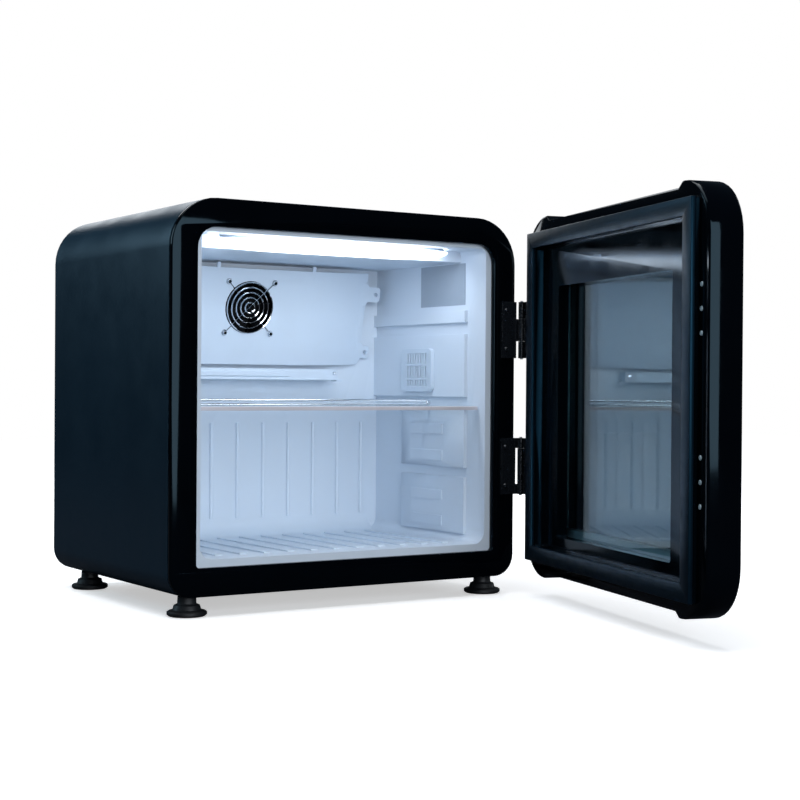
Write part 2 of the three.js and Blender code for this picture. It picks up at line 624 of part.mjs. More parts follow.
// ---------- drip tray ----------
const TRAY_WALL = 1.5;
const TRAY_LIP = 2;
const TRAY_FRONT = CAVITY_BACK - 38;
const TRAY_BACK = CAVITY_BACK - GAP;
const TRAY_X = [-(WALL_X - BLOCK_PROUD) + 0.5, 121];
const TRAY_Z = [SINK_Z - 100, SINK_Z - 84.4];
const TRAY_STEP = 41; // the upper rail on its front ends here
const TRAY_SCREW = [115, TRAY_Z[0] + 10];
const trayWalls = block(TRAY_X, [TRAY_FRONT, TRAY_BACK], TRAY_Z);
const trayHollow = block(
  [TRAY_X[0] + TRAY_WALL, TRAY_X[1] - TRAY_WALL],
  [TRAY_FRONT + TRAY_WALL, TRAY_BACK - TRAY_WALL],
  [TRAY_Z[0] + TRAY_WALL, TRAY_Z[1] + 1],
);
const trayRails = [
  block([TRAY_X[0], TRAY_STEP], [TRAY_FRONT - TRAY_LIP, TRAY_FRONT + 0.2], [TRAY_Z[0] + 5, TRAY_Z[1] - 4]),
  block(TRAY_X, [TRAY_FRONT - TRAY_LIP / 2, TRAY_FRONT + 0.2], [TRAY_Z[0], TRAY_Z[0] + 2.5]),
  block([TRAY_X[1] - 0.5, TRAY_X[1] + 9], [TRAY_FRONT + 3, TRAY_FRONT + 18],
    [TRAY_Z[0] - 1.5, TRAY_Z[0] + 1.5]),
];
const trayBore = rod(SCREW_BORE, 6, "y", [TRAY_SCREW[0], TRAY_FRONT - 3, TRAY_SCREW[1]], 10);
put("drip_tray", combine([trayWalls, ...trayRails], [trayHollow, trayBore]), WHITE_PLASTIC);
put("tray_screw", screw(6, 3.2).translate(TRAY_SCREW[0], TRAY_FRONT - GAP, TRAY_SCREW[1]), CHROME);

// ---------- lamp and sensor cover ----------
const LAMP = { left: -(WALL_X - 28), right: WALL_X - 34, front: 38, back: 64, rise: 16 };
const lampMid = (LAMP.left + LAMP.right) / 2;
const lampHalf = (LAMP.right - LAMP.left) / 2;
const LAMP_BASE = 3;
const lampTop = CEILING - GAP - LAMP_BASE - GAP;
put(
  "lamp_base",
  block([LAMP.left + 12, LAMP.right - 12], [LAMP.front + 3, LAMP.back - 3],
    [CEILING - GAP - LAMP_BASE, CEILING - GAP]),
  WHITE_PLASTIC,
);
const lens = new THREE.Shape();
lens.moveTo(LAMP.right, lampTop);
lens.lineTo(LAMP.left, lampTop);
lens.quadraticCurveTo(LAMP.left + 4, lampTop - 8, LAMP.left + 40, lampTop - 11);
lens.quadraticCurveTo(lampMid, lampTop - LAMP.rise + 1, LAMP.right - 40, lampTop - 11);
lens.quadraticCurveTo(LAMP.right - 4, lampTop - 8, LAMP.right, lampTop);
put(
  "lamp_diffuser",
  slab(lens, LAMP.front, LAMP.back, { segments: 8 }),
  paint(0xf4f8ff, 0.35, 0, { emissive: 0xeaf4ff, emissiveIntensity: 1 }),
);

const GRILLE = { front: 122, back: 198, low: SHELF_TOP + 20, high: SHELF_TOP + 80, proud: 6,
  slots: 8, rows: [8, 17, 15] };
const grilleX = WALL_X - BLOCK_PROUD - GAP;
const grilleBody = beam(rounded(GRILLE.back - GRILLE.front, GRILLE.high - GRILLE.low, 7,
  (GRILLE.front + GRILLE.back) / 2, (GRILLE.low + GRILLE.high) / 2), grilleX - GRILLE.proud, grilleX, 4);
const grilleCuts = [];
let rowLow = GRILLE.low + 8;
for (const rowHeight of GRILLE.rows) {
  for (let i = 0; i < GRILLE.slots; i++) {
    const y = GRILLE.front + 12 + i * 6.4;
    grilleCuts.push(block([grilleX - GRILLE.proud - 1, grilleX - 2], [y, y + 3],
      [rowLow, rowLow + rowHeight]));
  }
  rowLow += rowHeight + 3;
}
put("sensor_cover", combine([grilleBody], grilleCuts), WHITE_PLASTIC);

// ---------- shelf ----------
const SHELF_HALF = WALL_X - 2;
const SHELF_FRONT = 31;
const SHELF_BACK = CAVITY_BACK - 12;
const TRIM_FRONT = 22;
const RAIL = { y: 128, radius: 1.5, half: WALL_X - 11, spread: 5.6 };
put(
  "shelf_glass",
  block([-SHELF_HALF, SHELF_HALF], [SHELF_FRONT, SHELF_BACK], [SHELF_LOW, SHELF_TOP]),
  paint(0xcfe0e6, 0.05, 0, { transparent: true, opacity: 0.45 }),
);
put(
  "shelf_trim",
  block([-SHELF_HALF, SHELF_HALF], [TRIM_FRONT, SHELF_FRONT - GAP], [SHELF_LOW - 0.5, SHELF_TOP + 0.5]),
  paint(0x9c9a98, 0.3, 0.6),
);
const railLow = SHELF_TOP + GAP + RAIL.radius;
const railWires = [0, RAIL.spread].map((rise) => rod(RAIL.radius, 2 * RAIL.half, "x",
  [-RAIL.half, RAIL.y, railLow + rise], 8));
const railEnds = [-1, 1].map((side) =>
  new THREE.TorusGeometry(RAIL.spread / 2, RAIL.radius, 6, 10)
    .rotateX(Math.PI / 2)
    .translate(side * RAIL.half, RAIL.y, railLow + RAIL.spread / 2),
);
put("shelf_rail", combine([...railWires, ...railEnds]), CHROME);

// ---------- door, drawn shut and then swung open about the hinge axis ----------
const doorY = (depth) => -DOOR_GAP - depth; // depth from the gasket face outward
const DOOR_EAR = 64; // width of the taller corner at each side
const DOOR_DIP = 6.5; // how far the top and bottom run lower between the corners
const DIP_RUN = 9;
const UNIT_DEPTH = DOOR_THICKNESS - 21; // gasket face to the inner pane
const PANE = 3.2;
const SPACER = 8;
const PLUG_RISE = 7; // the spare screw holes sit higher than the hinges
const GASKET_WIDTH = 20;
const gasketW = WIDTH - 2 * DOOR_INSET;
const gasketH = TOP - DOOR_LOW - 2 * DOOR_INSET_TOP;
const GASKET_DEPTH = 5.7;
const POCKET_W = gasketW - 26;
const POCKET_H = gasketH - 20;
const POCKET_STEP = 6; // depth of the straight part of the inner frame
const UNIT_WIDTH = POCKET_W - 30;
const UNIT_HEIGHT = POCKET_H - 16;
const WINDOW_W = WIDTH - 190;
const WINDOW_LOW = UNDER + 61; // the border is deeper above the window than below it
const WINDOW_TOP = TOP - 94;
const WINDOW_H = WINDOW_TOP - WINDOW_LOW;
const WINDOW_MID = (WINDOW_TOP + WINDOW_LOW) / 2;
const WINDOW_MARGIN = 12; // the outer opening is this much larger

function doorOutline() {
  const r = DOOR_RADIUS;
  const dip = HALF - DOOR_EAR;
  const shape = new THREE.Shape();
  shape.moveTo(-HALF + r, DOOR_LOW);
  shape.lineTo(-dip, DOOR_LOW);
  shape.lineTo(-dip + DIP_RUN, DOOR_LOW + DOOR_DIP);
  shape.lineTo(dip - DIP_RUN, DOOR_LOW + DOOR_DIP);
  shape.lineTo(dip, DOOR_LOW);
  shape.lineTo(HALF - r, DOOR_LOW);
  shape.absarc(HALF - r, DOOR_LOW + r, r, -Math.PI / 2, 0, false);
  shape.absarc(HALF - r, TOP - r, r, 0, Math.PI / 2, false);
  shape.lineTo(dip, TOP);
  shape.lineTo(dip - DIP_RUN, TOP - DOOR_DIP);
  shape.lineTo(-dip + DIP_RUN, TOP - DOOR_DIP);
  shape.lineTo(-dip, TOP);
  shape.absarc(-HALF + r, TOP - r, r, Math.PI / 2, Math.PI, false);
  shape.absarc(-HALF + r, DOOR_LOW + r, r, Math.PI, Math.PI * 1.5, false);
  return shape;
}

const flangeY = doorY(DOOR_STEP);
const plugHeights = Object.values(hingeHeights).flatMap((z) => [-1, 0,
  1].map((s) => z + PLUG_RISE + s * LEAF_SCREW_Z));
const doorBores = [
  ...collarBores.map((bore) => bore.clone().translate(0, flangeY - COLLAR_DEPTH, 0)),
  ...plugHeights.map((z) => rod(SCREW_BORE, 8, "y", [-LEAF_SCREW_X, flangeY - 7, z], 10)),
];
const unitEnd = UNIT_DEPTH + 2 * PANE + SPACER + 4 * GAP;
put(
  "door_frame",
  combine(
    [slab(doorOutline(), doorY(DOOR_THICKNESS), flangeY, { bevel: 2.5, segments: 5 })],
    [
      slab(rounded(POCKET_W, POCKET_H, 6, 0, DOOR_MID), doorY(unitEnd), flangeY + 1, { segments: 3 }),
      slab(rounded(WINDOW_W + WINDOW_MARGIN, WINDOW_H + WINDOW_MARGIN, 10, 0, WINDOW_MID),
        doorY(DOOR_THICKNESS) - 1,
        flangeY + 1, { segments: 5 }),
      ...doorBores,
    ],
  ),
  GLOSS_BLACK,
  door,
);
const innerY = [GASKET_DEPTH + GAP, DOOR_STEP - GAP, DOOR_STEP + POCKET_STEP, UNIT_DEPTH - GAP].map(doorY);
const openW = gasketW - 2 * GASKET_WIDTH;
const openH = gasketH - 2 * GASKET_WIDTH;
put(
  "door_inner_frame",
  combine([
    frame(gasketW, gasketH, 2, openW, openH, 3, DOOR_MID, innerY[1], innerY[0], { segments: 3 }),
    frame(POCKET_W - 2 * GAP, POCKET_H - 2 * GAP, 5, openW, openH, 3, DOOR_MID, innerY[2],
      innerY[1] + 0.2, { segments: 3 }),
    slab(rounded(POCKET_W - 2 * GAP, POCKET_H - 2 * GAP, 5, 0, DOOR_MID), innerY[3], innerY[2] + 0.2, {
      hole: rounded(WINDOW_W, WINDOW_H, 4, 0, WINDOW_MID, new THREE.Path()),
    }),
  ]),
  GLOSS_BLACK,
  door,
);
put(
  "door_gasket",
  frame(gasketW, gasketH, 0.8, openW, openH, 0.8, DOOR_MID, doorY(GASKET_DEPTH), doorY(0),
    { segments: 1, bevel: 0.6 }),
  RUBBER,
  door,
);
const GLASS = paint(0x4b6982, 0.03, 0, { transparent: true, opacity: 0.6 });
let unitY = UNIT_DEPTH;
for (const [name, thickness, inset] of [["door_glass_inner", PANE, 0], ["glass_spacer", SPACER, 3],
  ["door_glass_outer", PANE, 0]]) {
  const [y0, y1] = [doorY(unitY + thickness), doorY(unitY)];
  const [w, h] = [UNIT_WIDTH - 2 * inset, UNIT_HEIGHT - 2 * inset];
  if (inset) {
    put(name, frame(w, h, 2, w - 50, h - 50, 2, DOOR_MID, y0, y1, { segments: 2 }),
      paint(0x5d8085, 0.4, 0.7), door);
  } else {
    put(name, block([-w / 2, w / 2], [y0, y1], [DOOR_MID - h / 2, DOOR_MID + h / 2]), GLASS, door);
  }
  unitY += thickness + GAP;
}
plugHeights.forEach((z, i) => {
  const plug = combine([
    rod(3, 0.9, "y", [0, 0, 0], 14, 2.4),
    rod(SCREW_SHANK, 6, "y", [0, -5.5, 0], 10),
  ]);
  put(`door_plug_${i + 1}`, plug.translate(-LEAF_SCREW_X, flangeY + GAP, z),
    paint(0x9fb2ba, 0.35, 0.2), door);
});

// ---------- hinges ----------
const KNUCKLE = 4.5;
const PIN = 2;
const LEAF = 2; // sheet of both leaves
const LEAF_HALF = 38;
const LEAF_START = LEAF_SCREW_X - 7;
const knuckleRanges = {
  upper: { fixed: [[-15, 15]], swinging: [[-LEAF_HALF, -15.3], [15.3, LEAF_HALF]] },
  lower: { fixed: [[-LEAF_HALF, -24.3], [24.3, LEAF_HALF]], swinging: [[-24, 24]] },
};
for (const [name, middle] of Object.entries(hingeHeights)) {
  const { fixed, swinging } = knuckleRanges[name];
  const pinBore = rod(PIN + GAP, 2 * LEAF_HALF + 2, "z", [HINGE_X, HINGE_Y, middle - LEAF_HALF - 1], 12);
  const knuckle = ([a, b]) => rod(KNUCKLE, b - a, "z", [HINGE_X, HINGE_Y, middle + a], 18);
  const height = [middle - LEAF_HALF, middle + LEAF_HALF];
  const screws = [-1, 1].map((s) => middle + s * LEAF_SCREW_Z);
  const fixedBack = -GAP;
  const fixedWebs = fixed.map(([a, b]) => block([HALF, HINGE_X], [fixedBack - LEAF, fixedBack],
    [middle + a, middle + b]));
  put(
    `hinge_${name}_cabinet_leaf`,
    combine(
      [block([LEAF_START, HALF + 1], [fixedBack - LEAF, fixedBack], height), ...fixedWebs,
        ...fixed.map(knuckle)],
      [pinBore, ...screws.map((z) => rod(SCREW_BORE, 6, "y", [LEAF_SCREW_X, -4, z], 10))],
    ),
    BLACK_STEEL,
  );
  const swingBack = flangeY + GAP;
  const swingEnd = HINGE_X + KNUCKLE;
  const swingWebs = swinging.flatMap(([a, b]) => [
    block([HALF, swingEnd], [swingBack, swingBack + LEAF], [middle + a, middle + b]),
    block([swingEnd - LEAF, swingEnd], [swingBack, HINGE_Y], [middle + a, middle + b]),
  ]);
  put(
    `hinge_${name}_door_leaf`,
    combine(
      [block([LEAF_START, HALF + 1], [swingBack, swingBack + LEAF], height), ...swingWebs,
        ...swinging.map(knuckle)],
      [pinBore, ...screws.map((z) => rod(SCREW_BORE, 6, "y", [LEAF_SCREW_X, swingBack - 2, z], 10))],
    ),
    BLACK_STEEL,
    door,
  );
  put(`hinge_${name}_pin`, rod(PIN, 2 * LEAF_HALF + 3, "z",
    [HINGE_X, HINGE_Y, middle - LEAF_HALF - 1.5], 14), ALUMINIUM);
  screws.forEach((z, i) => {
    const level = i ? "top" : "low";
    put(`screw_${name}_cabinet_${level}`, screw(6, 3.4).translate(LEAF_SCREW_X,
      fixedBack - LEAF - GAP, z), BLACK_STEEL);
    const turned = screw(6, 3.4).rotateZ(Math.PI).translate(LEAF_SCREW_X, swingBack + LEAF + GAP, z);
    put(`screw_${name}_door_${level}`, turned, BLACK_STEEL, door);
  });
}

// Swing the door about the hinge axis.
const swing = THREE.MathUtils.degToRad(DOOR_OPEN);
const axis = new THREE.Vector3(HINGE_X, HINGE_Y, 0);
door.rotation.z = swing;
door.position.copy(axis).sub(axis.clone().applyAxisAngle(new THREE.Vector3(0, 0, 1), swing));

// Centre the whole part over the origin, to the nearest millimetre, with the floor at zero.
const extent = new THREE.Box3().setFromObject(fridge);
fridge.position.set(-Math.round((extent.min.x + extent.max.x) / 2),
  -Math.round((extent.min.y + extent.max.y) / 2), 0);

export default fridge;
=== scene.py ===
"""Looks for a counter-top glass-door mini fridge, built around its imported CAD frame."""
import json
import math

import bmesh
import bpy
from mathutils import Matrix, Vector

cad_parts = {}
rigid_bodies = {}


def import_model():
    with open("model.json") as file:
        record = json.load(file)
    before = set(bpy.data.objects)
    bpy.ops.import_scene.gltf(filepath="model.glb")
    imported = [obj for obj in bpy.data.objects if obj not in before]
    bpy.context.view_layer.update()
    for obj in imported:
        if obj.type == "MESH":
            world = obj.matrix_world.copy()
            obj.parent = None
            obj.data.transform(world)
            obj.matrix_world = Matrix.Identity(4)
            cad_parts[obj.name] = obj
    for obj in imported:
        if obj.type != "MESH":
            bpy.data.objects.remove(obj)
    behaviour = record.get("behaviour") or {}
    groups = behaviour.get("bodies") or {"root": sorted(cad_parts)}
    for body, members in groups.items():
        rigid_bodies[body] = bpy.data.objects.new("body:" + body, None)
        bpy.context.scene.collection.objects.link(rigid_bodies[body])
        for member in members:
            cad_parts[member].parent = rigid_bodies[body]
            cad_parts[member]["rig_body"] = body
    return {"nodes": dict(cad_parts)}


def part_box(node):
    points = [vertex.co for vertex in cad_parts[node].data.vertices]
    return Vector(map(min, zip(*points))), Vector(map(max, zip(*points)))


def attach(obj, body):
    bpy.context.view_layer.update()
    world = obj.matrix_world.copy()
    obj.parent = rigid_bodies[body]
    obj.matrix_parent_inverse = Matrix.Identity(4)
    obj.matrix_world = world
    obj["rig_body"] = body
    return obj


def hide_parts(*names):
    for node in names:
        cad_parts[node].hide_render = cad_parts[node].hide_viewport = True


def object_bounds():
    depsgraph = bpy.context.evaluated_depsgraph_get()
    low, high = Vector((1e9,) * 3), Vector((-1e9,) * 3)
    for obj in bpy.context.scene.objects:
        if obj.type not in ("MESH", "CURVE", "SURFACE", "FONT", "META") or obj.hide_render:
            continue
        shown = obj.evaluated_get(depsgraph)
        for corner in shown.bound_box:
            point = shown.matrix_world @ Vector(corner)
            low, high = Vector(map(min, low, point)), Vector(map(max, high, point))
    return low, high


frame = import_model()
CAD_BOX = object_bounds()
NODES = frame["nodes"]
MM = 0.001
CABINET_SHIFT = (-24, 69, 0)  # from the cabinet's middle, front plane and floor to the frame
WALL_X = 211  # side wall of the cold space, from the cabinet's middle

# Millimetres in the cabinet's own coordinates: blank label film on the right wall
LABEL_X = (WALL_X - 0.35, WALL_X - 0.05)
LABEL_Y = (55, 164)
LABEL_Z = (391, 448)
# and a dark slab that paints shade into the floor of the sensor cover's slots
SHADE_X = (WALL_X - 7.7, WALL_X - 7.1)
SHADE_Y = (132, 186)
SHADE_Z = (279, 327)


# ---------------------------------------------------------------- materials
GLASS_TINT = (0.72, 0.95, 1.0)  # colour of a reflection in the coated panes
BLUE_SHEEN = (0.15, 0.60, 1.0)  # colour of a reflection in the blue-black pieces


def shader(name):
    """A new node material and its Principled shader."""
    material = bpy.data.materials.new(name)
    material.use_nodes = True
    tree = material.node_tree
    return material, tree, tree.nodes["Principled BSDF"]


def link_noise(tree, scale, detail=3.0, stretch=(1, 1, 1)):
    """A noise field in metres, stretched along an axis for brushed or streaked surfaces."""
    coords = tree.nodes.new("ShaderNodeTexCoord")
    mapping = tree.nodes.new("ShaderNodeMapping")
    mapping.inputs["Scale"].default_value = stretch
    noise = tree.nodes.new("ShaderNodeTexNoise")
    noise.inputs["Scale"].default_value = scale
    noise.inputs["Detail"].default_value = detail
    tree.links.new(coords.outputs["Object"], mapping.inputs["Vector"])
    tree.links.new(mapping.outputs["Vector"], noise.inputs["Vector"])
    return noise


def vary_colour(tree, bsdf, colour, spread, scale, stretch=(1, 1, 1)):
    """Base colour that drifts slightly between a darker and a lighter tone."""
    noise = link_noise(tree, scale, 2.0, stretch)
    ramp = tree.nodes.new("ShaderNodeValToRGB")
    ramp.color_ramp.elements[0].position = 0.3
    ramp.color_ramp.elements[1].position = 0.7
    ramp.color_ramp.elements[0].color = [c * (1 - spread) for c in colour] + [1]
    ramp.color_ramp.elements[1].color = [min(c * (1 + spread), 1) for c in colour] + [1]
    tree.links.new(noise.outputs["Fac"], ramp.inputs["Fac"])
    tree.links.new(ramp.outputs["Color"], bsdf.inputs["Base Color"])


def vary_roughness(tree, bsdf, low, high, scale, stretch=(1, 1, 1)):
    """Roughness that wanders between two values, as handling and moulding leave it."""
    noise = link_noise(tree, scale, 4.0, stretch)
    spread = tree.nodes.new("ShaderNodeMapRange")
    spread.inputs["From Min"].default_value = 0.3
    spread.inputs["From Max"].default_value = 0.7
    spread.inputs["To Min"].default_value = low
    spread.inputs["To Max"].default_value = high
    tree.links.new(noise.outputs["Fac"], spread.inputs["Value"])
    tree.links.new(spread.outputs["Result"], bsdf.inputs["Roughness"])


def add_bump(tree, bsdf, scale, strength, depth, stretch=(1, 1, 1)):
    """Fine surface relief, depth in metres."""
    noise = link_noise(tree, scale, 3.0, stretch)
    bump = tree.nodes.new("ShaderNodeBump")
    bump.inputs["Strength"].default_value = strength
    bump.inputs["Distance"].default_value = depth
    tree.links.new(noise.outputs["Fac"], bump.inputs["Height"])
    tree.links.new(bump.outputs["Normal"], bsdf.inputs["Normal"])


def surface(name, colour, rough, spread=0.06, tone_scale=6, rough_scale=30, grain=900, relief=0.00002,
            metal=0.0, coat=0.0, stretch=(1, 1, 1), strength=0.3, specular=0.5,
            tint=(1, 1, 1)):
    """A finished opaque surface: tone drift, roughness drift and fine relief."""
    material, tree, bsdf = shader(name)
    bsdf.inputs["Metallic"].default_value = metal
    bsdf.inputs["Specular IOR Level"].default_value = specular
    bsdf.inputs["Specular Tint"].default_value = (*tint, 1)
    bsdf.inputs["Coat Weight"].default_value = coat
    bsdf.inputs["Coat Roughness"].default_value = 0.04
    vary_colour(tree, bsdf, colour, spread, tone_scale, stretch)
    vary_roughness(tree, bsdf, rough[0], rough[1], rough_scale, stretch)
    add_bump(tree, bsdf, grain, strength, relief, stretch)
    return material


def glass(name, tint, rough=0.0, cover=1.0, through=1.0):
    """Clear or tinted sheet glass with faint smears; a low cover lets lamp light straight through."""
    material, tree, bsdf = shader(name)
    bsdf.inputs["Transmission Weight"].default_value = through
    bsdf.inputs["Alpha"].default_value = cover
    bsdf.inputs["IOR"].default_value = 1.5
    bsdf.inputs["Specular Tint"].default_value = (*GLASS_TINT, 1)
    vary_colour(tree, bsdf, tint, 0.03, 8)
    vary_roughness(tree, bsdf, rough, rough + 0.02, 14)
    return material


NAVY = surface("navy_enamel", (0.004, 0.018, 0.034), (0.28, 0.36), 0.08, 4, 20, 1400, 0.000012,
               specular=0.5, tint=(0.45, 0.78, 1.0))
GLOSS = surface("gloss_black", (0.0008, 0.0014, 0.0026), (0.05, 0.10), 0.15, 9, 26, 300, 0.000008,
                specular=0.12, tint=(0.5, 0.8, 1.0))
FAN_BLACK = surface("fan_black", (0.0012, 0.0016, 0.0024), (0.5, 0.6), 0.15, 40, 90, 1200, 0.00002,
                    specular=0.1)
LINER = surface("liner_white", (0.74, 0.82, 0.92), (0.30, 0.42), 0.02, 5, 40, 700, 0.00002)
COVER_WHITE = surface("cover_white", (0.68, 0.77, 0.88), (0.34, 0.46), 0.02, 7, 60, 1600, 0.00003)
CHROME = surface("chrome", (0.78, 0.80, 0.83), (0.05, 0.14), 0.04, 40, 120, 900, 0.000006, metal=1.0)
ALU = surface("aluminium", (0.62, 0.64, 0.66), (0.28, 0.45), 0.05, 30, 200, 500, 0.00001, metal=1.0,
              stretch=(1, 1, 14))
RUBBER = surface("rubber", (0.008, 0.009, 0.011), (0.45, 0.62), 0.2, 40, 90, 1200, 0.00004)
PLASTIC = surface("black_plastic", (0.010, 0.011, 0.013), (0.38, 0.52), 0.15, 30, 90, 1800, 0.00003)
STEEL = surface("black_steel", (0.012, 0.015, 0.020), (0.20, 0.34), 0.12, 30, 90, 900, 0.00002, metal=0.4,
                coat=0.2)
FOAM = surface("foam", (0.72, 0.62, 0.40), (0.8, 0.95), 0.12, 30, 60, 250, 0.0006)
BACK = surface("back_sheet", (0.020, 0.023, 0.027), (0.42, 0.58), 0.1, 10, 50, 1100, 0.00003, metal=0.2)
CERAMIC = surface("ceramic", (0.80, 0.79, 0.74), (0.5, 0.6), 0.03, 30, 90, 900, 0.00001)
TRIM = surface("shelf_trim", (0.76, 0.72, 0.76), (0.26, 0.36), 0.06, 12, 60, 500, 0.00001,
               stretch=(1, 20, 20))
LABEL = surface("label_film", (0.36, 0.42, 0.50), (0.35, 0.5), 0.03, 20, 60, 800, 0.000008)
PLUG = surface("plug_grey", (0.35, 0.45, 0.50), (0.2, 0.3), 0.05, 60, 90, 900, 0.00001)
SPACER = surface("spacer", (0.16, 0.27, 0.29), (0.3, 0.42), 0.08, 20, 60, 900, 0.00001, metal=0.8)
INNER_BLACK = surface("inner_black", (0.0008, 0.0020, 0.0036), (0.06, 0.14), 0.15, 9, 26, 300, 0.000008,
                      specular=0.22, tint=BLUE_SHEEN)
GASKET = surface("gasket_rubber", (0.002, 0.005, 0.009), (0.30, 0.42), 0.2, 12, 60, 900, 0.00003,
                 specular=0.3, tint=BLUE_SHEEN)
# Near-black for the cold heat sink: painted shade for the dark space behind the fan rotors
SINK_PAINTED_SHADE = surface("sink_painted_shade", (0.002, 0.002, 0.003), (0.5, 0.6), 0.1, 30, 200, 500, 0.00001, specular=0.1)
# Dark blue-grey that paints the shade inside the sensor cover's slots
SLOT_PAINTED_SHADE = surface("slot_painted_shade", (0.10, 0.13, 0.18), (0.5, 0.6), 0.1, 30, 200, 500, 0.00001)
SHELF_GLASS = glass("shelf_glass", (0.62, 0.80, 0.88), 0.03, 0.30, 0.4)
PANE_CLEAR = glass("pane_clear", (0.80, 0.93, 0.97))
PANE_DARK = glass("pane_dark", (0.035, 0.055, 0.075))


def glow():
    """The frosted diffuser, lit from inside."""
    material, tree, bsdf = shader("lamp_glow")
    vary_colour(tree, bsdf, (0.9, 0.94, 1.0), 0.03, 12)
    vary_roughness(tree, bsdf, 0.3, 0.45, 60)
    bsdf.inputs["Emission Color"].default_value = (0.84, 0.91, 1.0, 1)
    bsdf.inputs["Emission Strength"].default_value = 6.0
    return material


GLOW = glow()


# ---------------------------------------------------------------- mesh helpers
def new_object(name, mesh, material, body):
    piece = bpy.data.objects.new(name, mesh)
    bpy.context.scene.collection.objects.link(piece)
    mesh.materials.clear()
    mesh.materials.append(material)
    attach(piece, body)
    return piece


def smooth(mesh, degrees=35):
    mesh.polygons.foreach_set("use_smooth", [True] * len(mesh.polygons))
    mesh.set_sharp_from_angle(angle=math.radians(degrees))


def refine(node, material, width=0.5, segments=2, angle=40, smooth_angle=35):
    """A softened copy of a CAD node: flat areas joined up and every hard edge given a small round."""
    source = NODES[node]
    mesh = source.data.copy()
    bm = bmesh.new()
    bm.from_mesh(mesh)
    bmesh.ops.remove_doubles(bm, verts=bm.verts, dist=0.00002)
    bmesh.ops.dissolve_limit(bm, angle_limit=math.radians(0.6), verts=bm.verts, edges=bm.edges)
    bm.to_mesh(mesh)
    bm.free()
    piece = new_object(node + "_shape", mesh, material, source["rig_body"])
    if width:
        bevel = piece.modifiers.new("soft_edges", "BEVEL")
        bevel.width = width * MM
        bevel.segments = segments
        bevel.limit_method = "ANGLE"
        bevel.angle_limit = math.radians(angle)
        bevel.harden_normals = True
    smooth(mesh, smooth_angle)
    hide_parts(node)
    return piece


def box(name, x, y, z, material, body, width=0.1):
    """A small slab between low and high corners, in millimetres of the cabinet's own coordinates."""
    mesh = bpy.data.meshes.new(name)
    bm = bmesh.new()
    bmesh.ops.create_cube(bm, size=1)
    for vertex in bm.verts:
        for axis, pair in enumerate((x, y, z)):
            vertex.co[axis] = (pair[vertex.co[axis] > 0] + CABINET_SHIFT[axis]) * MM
    bmesh.ops.bevel(bm, geom=bm.edges, offset=width * MM, segments=2, affect="EDGES")
    bm.to_mesh(mesh)
    bm.free()
    return new_object(name, mesh, material, body)


def dress(node, material):
    """A CAD node that keeps its own shape and gets a finished material."""
    data = NODES[node].data
    data.materials.clear()
    data.materials.append(material)


def diffuser():
    """The lamp's frosted lens: a long drop with narrowing ends, flat on top."""
    stations, points = 48, 16
    fullness = 0.6  # under 1 squares off the round of the section
    low, high = (Vector(corner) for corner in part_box("lamp_diffuser"))
    middle, half = (low + high) / 2, (high - low) / 2
    bm = bmesh.new()
    rings = []
    for i in range(stations + 1):
        along = math.sin(math.pi / 2 * (2 * i / stations - 1)) * 0.995
        depth = half.y * (1 - abs(along) ** 8) ** 0.6
        drop = 2 * half.z * (1 - abs(along) ** 6) ** 0.6
        turns = [math.pi * j / points for j in range(points + 1)]
        rings.append([
            bm.verts.new((
                middle.x + along * half.x,
                middle.y + depth * math.copysign(abs(math.cos(a)) ** fullness, math.cos(a)),
                high.z - drop * abs(math.sin(a)) ** fullness,
            ))
            for a in turns
        ])
    for first, second in zip(rings, rings[1:]):
        for j in range(points):
            bm.faces.new((first[j], first[j + 1], second[j + 1], second[j]))
        bm.faces.new((first[points], first[0], second[0], second[points]))
    bm.faces.new(rings[0])
    bm.faces.new(rings[-1])
    bmesh.ops.recalc_face_normals(bm, faces=bm.faces)
    mesh = bpy.data.meshes.new("lamp_lens")
    bm.to_mesh(mesh)
    bm.free()
    piece = new_object("lamp_lens", mesh, GLOW, NODES["lamp_diffuser"]["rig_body"])
    smooth(mesh)
    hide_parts("lamp_diffuser")


# ---------------------------------------------------------------- cabinet
refine("outer_shell", NAVY, 0.4)
refine("front_collar", GLOSS, 0.4)
refine("inner_liner", LINER, 1.2, 3)
dress("foam_insulation", FOAM)
refine("rear_panel", BACK, 0.4)
refine("power_inlet", PLASTIC, 0.5)
refine("fan_cover", COVER_WHITE, 0.7)
refine("drip_tray", COVER_WHITE, 0.6)
refine("lamp_base", COVER_WHITE, 0.5)
diffuser()
refine("sensor_cover", COVER_WHITE, 0.5)
box("label", LABEL_X, LABEL_Y, LABEL_Z, LABEL, "cabinet")
for name in ("inner_fan_frame", "outer_fan_frame", "inner_fan_rotor", "outer_fan_rotor"):
    refine(name, FAN_BLACK, 0.3)
# the cold heat sink carries painted shade, so the gaps between the fan blades show dark
dress("cold_heat_sink", SINK_PAINTED_SHADE)
dress("hot_heat_sink", ALU)
# a dark slab just behind the sensor cover's slots, painted shade showing through them
box("sensor_painted_shade", SHADE_X, SHADE_Y, SHADE_Z, SLOT_PAINTED_SHADE, "cabinet")
dress("peltier_module", CERAMIC)
refine("fan_guard", CHROME, 0)
for name in [n for n in NODES if "screw" in n]:
    refine(name, CHROME if "_cabinet_" not in name and "_door_" not in name else STEEL, 0.2)
for name in [n for n in NODES if n.startswith("foot_")]:
    refine(name, RUBBER, 0.3)
refine("shelf_glass", SHELF_GLASS, 0.6)
refine("shelf_trim", TRIM, 0.6)
refine("shelf_rail", CHROME, 0)

